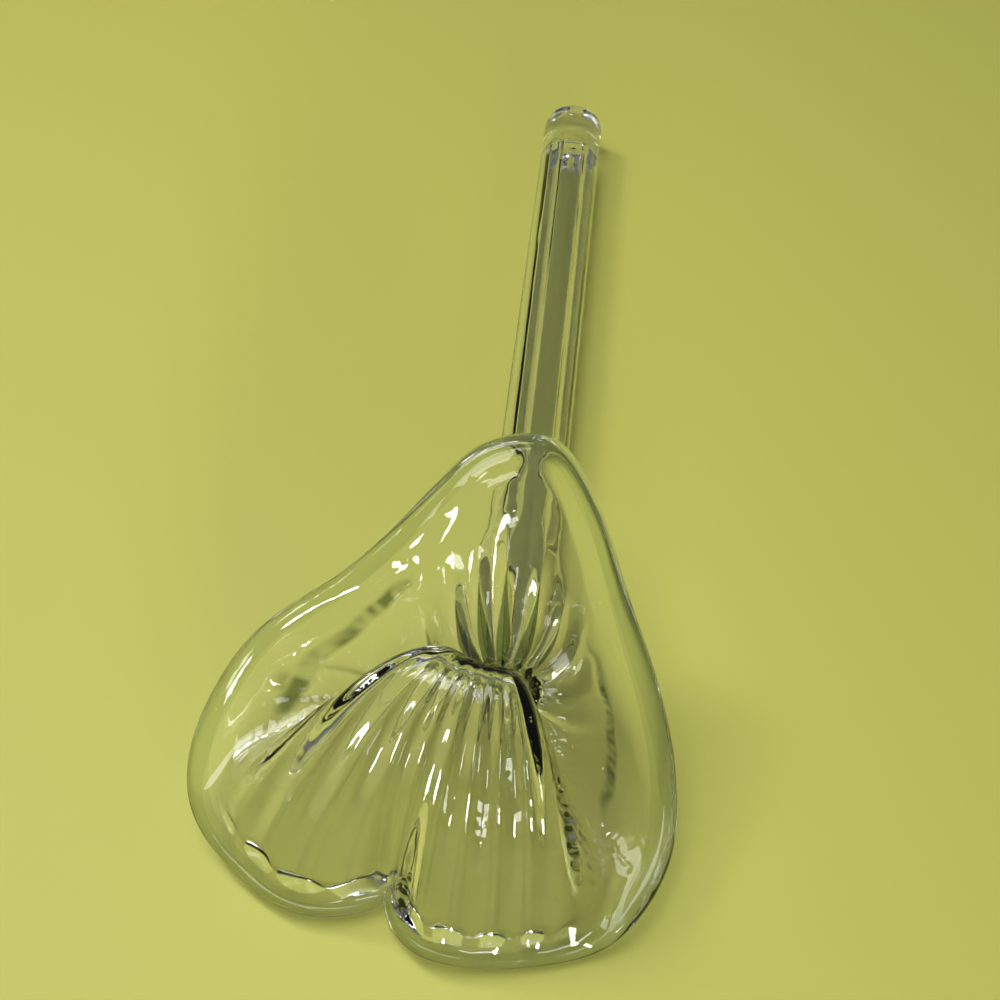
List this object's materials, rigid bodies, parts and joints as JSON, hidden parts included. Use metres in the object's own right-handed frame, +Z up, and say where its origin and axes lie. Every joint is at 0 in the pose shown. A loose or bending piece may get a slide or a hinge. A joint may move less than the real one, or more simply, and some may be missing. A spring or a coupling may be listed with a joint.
{
  "type": "glass lily trumpet",
  "caption": "Hand-blown clear glass lily trumpet: ribbed heart-shaped flower with a beaded, rolled lip on a bent hollow stem with a sealed end.",
  "frame": {"origin": "on the surface it lies on, under the middle of its bounding box", "axes": "+Y along the straight stem towards its sealed end, +Z up from the surface it lies on, -Y towards the front lip of the flower"},
  "size_m": [0.1058, 0.2822, 0.0628],
  "materials": {
    "clear_glass": "fire-polished, with optic ribs and faint waves",
    "bead_glass": "fire-polished, thick and rounded",
    "stem_glass": "fire-polished, with long soft ribs"
  },
  "bodies": {
    "root": {"bloom": "clear_glass", "lip_bead": "bead_glass", "neck": "clear_glass", "stem_tube": "stem_glass", "stem_end": "stem_glass"}
  },
  "joints": []
}
